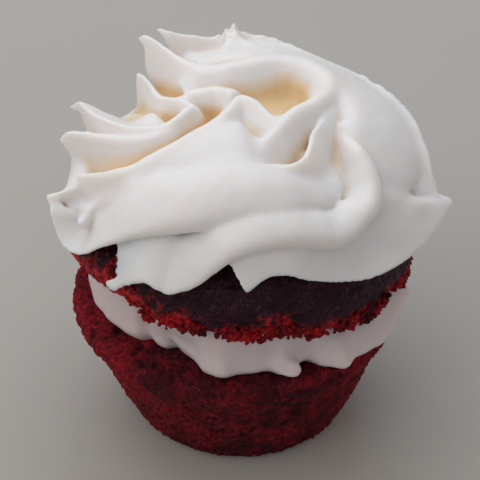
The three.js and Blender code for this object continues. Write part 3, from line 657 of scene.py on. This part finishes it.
def blade(crest, depth, rise, root, edge, belly=0, start=0.1, point=0.1, end=0.25, flank=1.2,
          ragged=0, lean=0, seed=0):
    """A closed mesh of one blade: a teardrop section lofted along its crest."""
    line, length = crest_line(crest)
    share = np.linspace(0, 1, len(line))
    ahead, stand, across = blade_axes(line, np.radians(spread(rise, share))[:, None])
    stand = stand - ahead * spread(lean, share)[:, None]
    growth, left = blade_growth(share, start, point, end)
    size = growth * left
    tall = spread(depth, share)

    around = 2 * np.pi * np.arange(BLADE_SIDES) / BLADE_SIDES
    up = 0.5 * (1 - np.cos(around))[None, :]
    side = (np.sign(np.sin(around)) * np.abs(np.sin(around)) ** SECTION_POWER)[None, :]
    thin = (spread(edge, share) * np.minimum(1, EDGE_AHEAD + growth) * left)[:, None]
    thick = ((spread(root, share) - spread(edge, share)) * size)[:, None]
    half = thin + thick * (1 - up) ** flank
    edge_points = np.stack([share * length, 0 * share, 0 * share], -1)
    teeth = (spread(ragged, share) * layered(edge_points, TEETH, seed))[:, None]
    drop = (tall * size)[:, None] * (up - 1) - (0.5 * tall * (1 - left))[:, None] + teeth * up ** 4
    swell = (spread(belly, share) * size)[:, None] * 4 * up * (1 - up)
    rings = (line[:, None, :] + stand[:, None, :] * drop[..., None]
             + across[:, None, :] * (swell + half * side)[..., None])
    points = np.concatenate([rings[0].mean(0)[None], rings.reshape(-1, 3), rings[-1].mean(0)[None]])
    return points, face_out(points, wrap_faces(len(line), BLADE_SIDES))


def far_arm(number):
    """An arm of the far side: its tip lies on the cake's shoulder and it sweeps up to the wall."""
    uneven = math.sin(5 * number)
    turn = FAR_FIRST_TURN + FAR_SPACING * number + FAR_TURN_SWAY * uneven
    angle = math.radians(turn)
    rim = shoulder(TOP_RADIUS * math.cos(angle), TOP_RADIUS * math.sin(angle))
    tall = (1 if number < FAR_LOW_FROM else FAR_LOW_SHARE) * (1 + FAR_TALL_SWAY * uneven)
    crest = [[turn - 8, FAR_TIP_RADIUS, rim + 0.6], [turn + 1, FAR_TIP_RADIUS, rim + 2.9 * tall],
             [turn + 16, 24.2, rim + 5.9 * tall], [turn + 36, 21, rim + 8.8 * tall],
             [turn + 58, 17.5, rim + 10 * tall]]
    return dict(crest=crest, depth=[4.5, 7.5, 8, 7, 6], rise=[-20, 10, 35, 55], root=[1.6, 3.8, 4.6, 4],
                edge=[0.5, 0.9, 1.2, 1], start=0.16, point=0.35, end=0.3, ragged=0.12)


# ---------- the planes of the cake ----------
def cut_face(x, y):
    """Height of the base's cut."""
    return CUT_HEIGHT + CUT_RISE_BACK * y + CUT_RISE_RIGHT * x


def top_face(x, y):
    """Height of the top's lower face."""
    return TOP_HEIGHT + TOP_RISE_BACK * y + TOP_RISE_RIGHT * x


def shoulder(x, y):
    """Height of the top's upper edge."""
    return SHOULDER_HEIGHT + SHOULDER_RISE_BACK * y + SHOULDER_RISE_RIGHT * x


# ---------- sponge ----------
def sponge_relief(points, seed):
    """Height of the crumb in millimetres, and how far into a pit each point lies, 0 to 1, for painted
    shade.
    """
    warp = np.stack([lumps(points, WARP_SIZE, seed + i) for i in (11, 12, 13)], -1)
    warped = points + WARP * warp
    big, big_next, mark = grains(warped, GRAIN_BIG, seed)
    small, small_next, _ = grains(warped, GRAIN_SMALL, seed + 1)
    fine = lumps(points, LUMP_FINE, seed + 2)
    wide = lumps(points, LUMP_WIDE, seed + 3)
    crease = 1 - smoothstep(0.0, 0.32, big_next - big)
    seam = 1 - smoothstep(0.0, 0.3, small_next - small)
    hole = smoothstep(0.62, 0.9, mark) * (1 - smoothstep(0.25, 0.5, big))
    height = (0.22 * (0.6 - big) + 0.24 * (0.55 - small) + 0.16 * fine + 0.18 * wide
              - 0.06 * crease - 0.1 * seam - 0.42 * hole)
    # painted shade: the mask for darkening creases, seams and holes
    pit = np.clip(0.25 * crease + 0.45 * seam + 0.9 * hole - 0.45 * fine, 0, 1)
    return height, pit


def crumbled(name, points, faces, amount, bright):
    """A sponge piece: its crumb raised on the given wrap, with attributes for its material."""
    outward = normals_of(points, faces)
    height, pit = sponge_relief(points, 5)
    raised = points + outward * (amount * height)[:, None]
    return make_piece(name, raised, faces.tolist(), pit=pit, bright=bright)


def near_turn(turn, middle, width):
    """1 at the middle turn, falling off to both sides like a bell."""
    return np.exp(-(((turn - middle) / width) ** 2))


def base_place(turns, row):
    """A ring of the base. Its heights follow the slope of the cut."""
    radius, height = row
    x = radius * np.cos(turns)
    y = radius * np.sin(turns)
    level = height * cut_face(x, y) / CUT_HEIGHT
    return np.stack([x + BASE_LEAN * height / CUT_HEIGHT, y, level], -1)


def base_crumb_and_painted_light(points):
    """Bright crumb round the cut and where the side's crust is rubbed off, with painted light and
    shadow.
    """
    x, y, z = points.T
    turn = np.degrees(np.arctan2(y, x)) % 360
    patch = layered(points, BASE_PATCHES, 31)
    rim = smoothstep(-3.2, -0.2, z - cut_face(x, y))
    left = near_turn(turn, 195, 32)
    front = near_turn(turn, 262, 36)
    # painted light: the upper left side is lighter where light falls; painted shadow: the front under
    # the filling's lip is darker
    side = (0.36 + 0.5 * patch + 0.2 * rim * (1 - front) - 0.3 * rim * front
            + 0.35 * left * smoothstep(6, 18, z))
    return np.clip(side, 0, 1)


def base_parts(low, high):
    """Steps along a part of the base's profile: long ones on the foot and inside the cut face."""
    hidden = high[0] < 18 and low[1] == high[1]
    return np.linalg.norm(high - low) / (HIDDEN_STEP if hidden else BASE_STEP)


def sponge_base():
    points, faces = turned(resample(BASE_PROFILE, base_parts), AROUND, base_place)
    amount = np.where(points[:, 2] < 0.3, FOOT_RELIEF, 1.0)
    piece = crumbled("sponge_base_crumb", points, faces, amount, base_crumb_and_painted_light(points))
    material = sponge_material("Base sponge", SPONGE_DARK, SPONGE_BRIGHT, 0.85, SPONGE_PAINTED_GLINT)
    dress(piece, material)
    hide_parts("cake_base")


def tear_height(turns):
    """How far the top's lower edge is torn up at these turns, in degrees."""
    return read_round(TEARS, turns, 1)


def top_place(turns, row, swell=0.0):
    """A ring of the top, made larger all round by swell."""
    radius, share, rise = row
    radius = radius + swell * (radius > 15)
    x = radius * np.cos(turns)
    y = radius * np.sin(turns) + TOP_SHIFT_BACK
    low, high = top_face(x, y), shoulder(x, y)
    lift = tear_height(np.degrees(turns) % 360) * (1 - smoothstep(0.05, 0.35, share)) * (radius > 21)
    end = -swell if share == 0 else swell * (share == 1)
    return np.stack([x, y, low + (high - low) * share + rise + lift + end], -1)


def top_bright(points):
    """Bright torn crumb along the lower edge of the top."""
    x, y, z = points.T
    turn = np.degrees(np.arctan2(y - TOP_SHIFT_BACK, x)) % 360
    above = z - top_face(x, y) - tear_height(turn)
    edge = read_round(TORN, turn, 1)
    patch = layered(points, TOP_PATCHES, 41) * np.minimum(1, 0.3 + 0.35 * edge)
    spot = smoothstep(0.25, 0.6, layered(points, TOP_SPOTS, 44))
    strewn = 0.55 * spot * (1 - smoothstep(edge, edge + 2.6, above))
    return np.clip(1 - smoothstep(-1.1, 0.6, above - edge - patch) + strewn, 0, 1)


def top_parts(low, high):
    """Steps along a part of the top's profile: long ones inside its lower and upper faces."""
    width = abs(high[0] - low[0])
    if max(low[0], high[0]) < 23 and low[1] == high[1]:
        return width / HIDDEN_STEP
    return (width + TOP_WALL * (high[1] - low[1]) + high[2] - low[2]) / TOP_STEP


def sponge_top():
    points, faces = turned(resample(TOP_PROFILE, top_parts), AROUND, top_place)
    torn = top_bright(points)
    piece = crumbled("sponge_top_crust", points, faces, 1.0 + 0.3 * torn, torn)
    material = sponge_material("Top crust", CRUST_DARK, CRUMB_BRIGHT, 0.5, CRUST_PAINTED_GLINT)
    dress(piece, material)
    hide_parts("cake_top")


def crumb_shape():
    """Corners and triangles of a round crumb of radius 1."""
    shape = bmesh.new()
    bmesh.ops.create_icosphere(shape, subdivisions=1, radius=1.0)
    corners = np.array([vertex.co for vertex in shape.verts])
    triangles = np.array([[vertex.index for vertex in face.verts] for face in shape.faces])
    shape.free()
    return corners, triangles


def loose_crumb(rng, corners, turn, edge, number):
    """Points of one crumb at this turn, up to the height of the torn edge, and its brightness."""
    angle = math.radians(turn)
    above = rng.triangular(-0.3, 0.0, 1.0) * edge
    radius = CRUMB_RADIUS + min(0.45, 0.22 * max(above, 0)) + rng.uniform(*CRUMB_OUTWARD)
    x = radius * math.cos(angle)
    y = radius * math.sin(angle) + TOP_SHIFT_BACK
    z = top_face(x, y) + tear_height(turn) + above
    grain = corners * rng.uniform(*CRUMB_SIZES) * rng.uniform(*CRUMB_STRETCH, 3)
    grain = grain * (1 + 0.5 * lumps(grain + number * 7.7, 0.3, 3))[:, None]
    spot = lumps(np.array([[x, y, z]]), 2.2, 47)[0]
    bright = np.clip(0.5 + 0.9 * spot + rng.uniform(-0.25, 0.25), 0.05, 1)
    return grain + np.array([x, y, z]), np.full(len(corners), bright)


def torn_crumbs():
    """Loose bright crumbs that cling in clumps along the lower edge of the top."""
    rng = np.random.RandomState(12)
    corners, triangles = crumb_shape()
    points, faces, bright = [], [], []
    for number in range(CRUMB_COUNT):
        turn = rng.uniform(0, 360)
        edge = read_round(TORN, turn, 1)
        clump = lumps(np.array([[turn / 3, 0, 0]]), 1.0, 48)[0]
        if rng.uniform(0, 3.2) > edge * (1 + 1.2 * clump):
            continue
        grain, shade = loose_crumb(rng, corners, turn, edge, number)
        faces.append(triangles + len(points) * len(corners))
        points.append(grain)
        bright.append(shade)
    points = np.concatenate(points)
    pit = np.clip(0.35 - 0.5 * lumps(points, 0.5, 9), 0, 1)
    piece = make_piece("torn_crumbs", points, np.concatenate(faces).tolist(),
                       pit=pit, bright=np.concatenate(bright))
    material = sponge_material("Torn crumb", CRUST_DARK, CRUMB_BRIGHT, 0.8, CRUMB_PAINTED_GLINT)
    dress(piece, material)


# ---------- cream ----------
def cream_piece(name, field, grid, seed):
    """A piece of cream from its field, with soft lumps and an attribute for the painted shade in its
    hollows.
    """
    points, faces = surface_of(field, grid)
    faces = face_out(points, faces)
    outward = normals_of(points, faces)
    relief = layered(points, CREAM_LUMPS, seed)
    near = soften(field, NEAR_ROUNDS)
    wide = soften(halved(halved(near)), WIDE_ROUNDS)
    # painted shade: how far inside narrow and wide hollows each point lies
    hollow = -HOLLOW_SHADE_NEAR * read_field(near, points, grid)
    hollow -= HOLLOW_SHADE_WIDE * read_field(wide, points, grid, 4 * VOXEL)
    points = points + outward * relief[:, None]
    return make_piece(name, points, faces.tolist(), hollow=np.clip(hollow, 0, 1))


def filling_place(turns, row):
    """A ring of the filling. Its brim hovers over the cut by the lift of the ruffled lip."""
    share, height = row
    degrees = np.degrees(turns)
    lip = read_round(RUFFLE, degrees, 1)
    top_reach = FILLING_TOP_RADIUS + FILLING_TOP_BACK * np.sin(turns)
    reach = lip + (top_reach - lip) * smoothstep(0.2, 0.9, height)
    x = share * reach * np.cos(turns)
    y = share * reach * np.sin(turns)
    floor = cut_face(x, y) - EMBED
    tall = top_face(x, y) + EMBED - floor
    tall += TEAR_FILL * tear_height(degrees % 360) * smoothstep(TEAR_FILL_FROM, 1.0, share)
    brim = np.clip(10 * share - 9, 0, 1) ** 2
    hover = read_round(RUFFLE, degrees, 2) * max(0, 1 - 2 * height) * np.minimum(1, tall / 4) * brim
    return np.stack([x, y, floor + height * tall + hover], -1)


def ruffled_filling():
    field = field_of(*turned(FILLING_PROFILE, FILLING_AROUND, filling_place), FILLING_GRID)
    for seed, shape in enumerate(FOLDS.values()):
        field = join(field, field_of(*blade(**shape, seed=seed), FILLING_GRID), FOLD_BLEND)
    piece = cream_piece("ruffled_filling", soften(field, 3), FILLING_GRID, 61)
    # painted shadow: the filling's colour is darkened for the top that overhangs it
    dress(piece, cream_material("Filling cream", FILLING_IN_PAINTED_SHADOW))
    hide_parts("frosting_filling")


def mound_place(turns, row):
    """A ring of the mound. Heights up to 1 count from a level 1 mm under the shoulder."""
    radius, height = row
    radius = radius * (1 + MOUND_BACK * np.sin(turns))
    x = SWIRL_CENTRE[0] + radius * np.cos(turns)
    y = SWIRL_CENTRE[1] + radius * np.sin(turns)
    level = np.full_like(x, height) if height > 1 else shoulder(x, y) + height - 1
    return np.stack([x, y, level], -1)


def mound():
    rows = [[0, 0], [MOUND_WAIST - 1, 0], [MOUND_WAIST, 1]]
    for share in np.linspace(1, 0, MOUND_RINGS):
        rows.append([MOUND_RADIUS * share * (1 - MOUND_TAPER * share),
                     MOUND_TOP - (MOUND_TOP - MOUND_EDGE) * share ** MOUND_POWER])
    return turned(rows, MOUND_AROUND, mound_place)


def piped_swirl():
    field = field_of(*mound(), SWIRL_GRID)
    shapes = list(BLADES.values()) + [far_arm(number) for number in range(FAR_ARMS)]
    for seed, shape in enumerate(shapes):
        soft = shape.pop("soft", BLEND)
        field = join(field, field_of(*blade(**shape, seed=10 * seed), SWIRL_GRID), soft)
    top = turned(TOP_PROFILE, CUTTER_AROUND, lambda turns, row: top_place(turns, row, -EMBED))
    field = cut(field, field_of(*top, SWIRL_GRID), CUT_BLEND)
    piece = cream_piece("piped_swirl", field, SWIRL_GRID, 71)
    dress(piece, cream_material("Swirl cream", CREAM))
    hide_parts("frosting_swirl")


# ---------- materials ----------
def new_material(name):
    """A material and its node tree."""
    material = bpy.data.materials.new(name)
    material.use_nodes = True
    return material, material.node_tree


def add_node(tree, kind, **settings):
    """A node with inputs or properties set by name."""
    node = tree.nodes.new(kind)
    for key, value in settings.items():
        if key in node.inputs:
            node.inputs[key].default_value = value
        else:
            setattr(node, key, value)
    return node


def noise_node(tree, size, detail):
    """Noise in object space with features of this size in millimetres."""
    place = add_node(tree, "ShaderNodeTexCoord")
    noise = add_node(tree, "ShaderNodeTexNoise", Scale=1 / (size * MM), Detail=detail)
    tree.links.new(place.outputs["Object"], noise.inputs["Vector"])
    return noise


def mix_colour(tree, factor, one, other):
    """From one colour to the other, by a factor."""
    mix = add_node(tree, "ShaderNodeMix", data_type="RGBA")
    tree.links.new(factor, mix.inputs[0])
    for socket, colour in ((mix.inputs[6], one), (mix.inputs[7], other)):
        if isinstance(colour, tuple):
            socket.default_value = colour
        else:
            tree.links.new(colour, socket)
    return mix.outputs[2]


def ranged(tree, source, low, high, new_low, new_high):
    """A value between low and high, carried over to a new range."""
    node = add_node(tree, "ShaderNodeMapRange")
    tree.links.new(source, node.inputs["Value"])
    node.inputs["From Min"].default_value = low
    node.inputs["From Max"].default_value = high
    node.inputs["To Min"].default_value = new_low
    node.inputs["To Max"].default_value = new_high
    return node.outputs["Result"]


def multiplied(tree, one, other):
    """The product of two values."""
    product = add_node(tree, "ShaderNodeMath", operation="MULTIPLY")
    tree.links.new(one, product.inputs[0])
    tree.links.new(other, product.inputs[1])
    return product.outputs[0]


def grained(tree, grain, smooth, rough, strength, height):
    """Lets a fine noise vary the roughness and bump the surface by a height in millimetres."""
    shader = tree.nodes["Principled BSDF"]
    roughness = ranged(tree, grain, 0.3, 0.7, smooth, rough)
    tree.links.new(roughness, shader.inputs["Roughness"])
    bump = add_node(tree, "ShaderNodeBump", Strength=strength, Distance=height * MM)
    tree.links.new(grain, bump.inputs["Height"])
    tree.links.new(bump.outputs["Normal"], shader.inputs["Normal"])


def sponge_material(name, dark, bright, roughness, painted_glint):
    """Dark sponge with bright crumb, painted glints scattered in patches, and painted shade in its
    pits.
    """
    material, tree = new_material(name)
    shader = tree.nodes["Principled BSDF"]
    red = add_node(tree, "ShaderNodeAttribute", attribute_name="bright").outputs["Fac"]
    pit = add_node(tree, "ShaderNodeAttribute", attribute_name="pit").outputs["Fac"]
    crumb = noise_node(tree, 0.8, 4).outputs["Fac"]
    speck = noise_node(tree, 0.25, 3).outputs["Fac"]
    patch = noise_node(tree, 2.5, 3).outputs["Fac"]
    deep_tone_and_shade = tuple(DEEP_TONE_AND_SHADE_SHARE * c for c in dark[:3]) + (1,)
    colour = mix_colour(tree, red, dark, bright)
    varied = ranged(tree, crumb, 0.35, 0.65, 0.0, 0.55)
    colour = mix_colour(tree, varied, colour, deep_tone_and_shade)
    where = ranged(tree, patch, 0.42, 0.6, 0.1, 1.0)
    # painted highlight: glints in specks, gathered in patches
    painted_glint_specks = ranged(tree, speck, 0.5, 0.68, 0.0, 0.75)
    painted_glint_amount = multiplied(tree, painted_glint_specks, where)
    colour = mix_colour(tree, painted_glint_amount, colour, painted_glint)
    # painted shade: pits, creases and seams darkened towards the dark colour
    shade = ranged(tree, pit, 0.1, 0.9, 0.0, 0.85)
    colour = mix_colour(tree, shade, colour, deep_tone_and_shade)
    tree.links.new(colour, shader.inputs["Base Color"])
    grained(tree, speck, roughness - 0.15, roughness + 0.12, 0.7, 0.12)
    shader.inputs["Specular IOR Level"].default_value = 0.15
    return material


def cream_material(name, cream):
    """Soft cream with warm painted shade in its hollows, and a little warm tint in wide clouds."""
    material, tree = new_material(name)
    shader = tree.nodes["Principled BSDF"]
    hollow = add_node(tree, "ShaderNodeAttribute", attribute_name="hollow").outputs["Fac"]
    cloud = noise_node(tree, 6.0, 3).outputs["Fac"]
    fine = noise_node(tree, 0.5, 3).outputs["Fac"]
    # painted shade: warm tan where the cream lies in hollows
    hollow_warm_shade = ranged(tree, hollow, 0.08, 0.6, 0.0, 1.0)
    colour = mix_colour(tree, hollow_warm_shade, cream, CREAM_WARM_TINT_AND_SHADE)
    tint = ranged(tree, cloud, 0.4, 0.7, 0.0, 0.06)
    colour = mix_colour(tree, tint, colour, CREAM_WARM_TINT_AND_SHADE)
    tree.links.new(colour, shader.inputs["Base Color"])
    grained(tree, fine, 0.38, 0.5, 0.25, 0.08)
    shader.inputs["Subsurface Weight"].default_value = 0.6
    shader.inputs["Subsurface Radius"].default_value = (1, 0.6, 0.35)
    shader.inputs["Subsurface Scale"].default_value = 3 * MM
    return material


def dress(piece, material):
    """Gives a piece its material and fixes it to the part's one body."""
    piece.data.materials.append(material)
    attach(piece, "root")


# ---------- floor, light and camera ----------
def floor():
    corners = [[-FLOOR_HALF, -FLOOR_HALF, 0], [FLOOR_HALF, -FLOOR_HALF, 0],
               [FLOOR_HALF, FLOOR_HALF, 0], [-FLOOR_HALF, FLOOR_HALF, 0]]
    plane = make_piece("floor", corners, [[0, 1, 2, 3]])
    material, tree = new_material("Floor")
    shader = tree.nodes["Principled BSDF"]
    cloud = noise_node(tree, 60, 2).outputs["Fac"]
    colour = mix_colour(tree, cloud, FLOOR_DARK, FLOOR_PALE)
    tree.links.new(colour, shader.inputs["Base Color"])
    shader.inputs["Roughness"].default_value = 0.85
    plane.data.materials.append(material)


def area_light(name, place, size, power, colour):
    light = bpy.data.lights.new(name, "AREA")
    light.size = size
    light.energy = power
    light.color = colour
    lamp = bpy.data.objects.new(name, light)
    lamp.location = place
    aim = Vector(LAMP_TARGET) - Vector(place)
    lamp.rotation_euler = aim.to_track_quat("-Z", "Y").to_euler()
    bpy.context.scene.collection.objects.link(lamp)


def lighting():
    world = bpy.data.worlds.new("Sky")
    bpy.context.scene.world = world
    world.use_nodes = True
    sky = world.node_tree.nodes["Background"]
    sky.inputs["Color"].default_value = SKY_COLOUR
    sky.inputs["Strength"].default_value = SKY_STRENGTH
    for name, values in LAMPS.items():
        area_light(name, *values)
    bpy.context.scene.view_settings.view_transform = "Standard"


def camera():
    data = bpy.data.cameras.new("Camera")
    data.sensor_width = 36
    data.lens = CAMERA_LENS
    data.shift_x = CAMERA_SHIFT
    data.clip_start = 0.01
    eye = bpy.data.objects.new("Camera", data)
    eye.location = CAMERA_PLACE
    aim = Vector(CAMERA_TARGET) - Vector(CAMERA_PLACE)
    eye.rotation_euler = aim.to_track_quat("-Z", "Y").to_euler()
    bpy.context.scene.collection.objects.link(eye)
    bpy.context.scene.camera = eye


camera()
lighting()
floor()
sponge_base()
ruffled_filling()
sponge_top()
torn_crumbs()
piped_swirl()

bpy.context.view_layer.update()
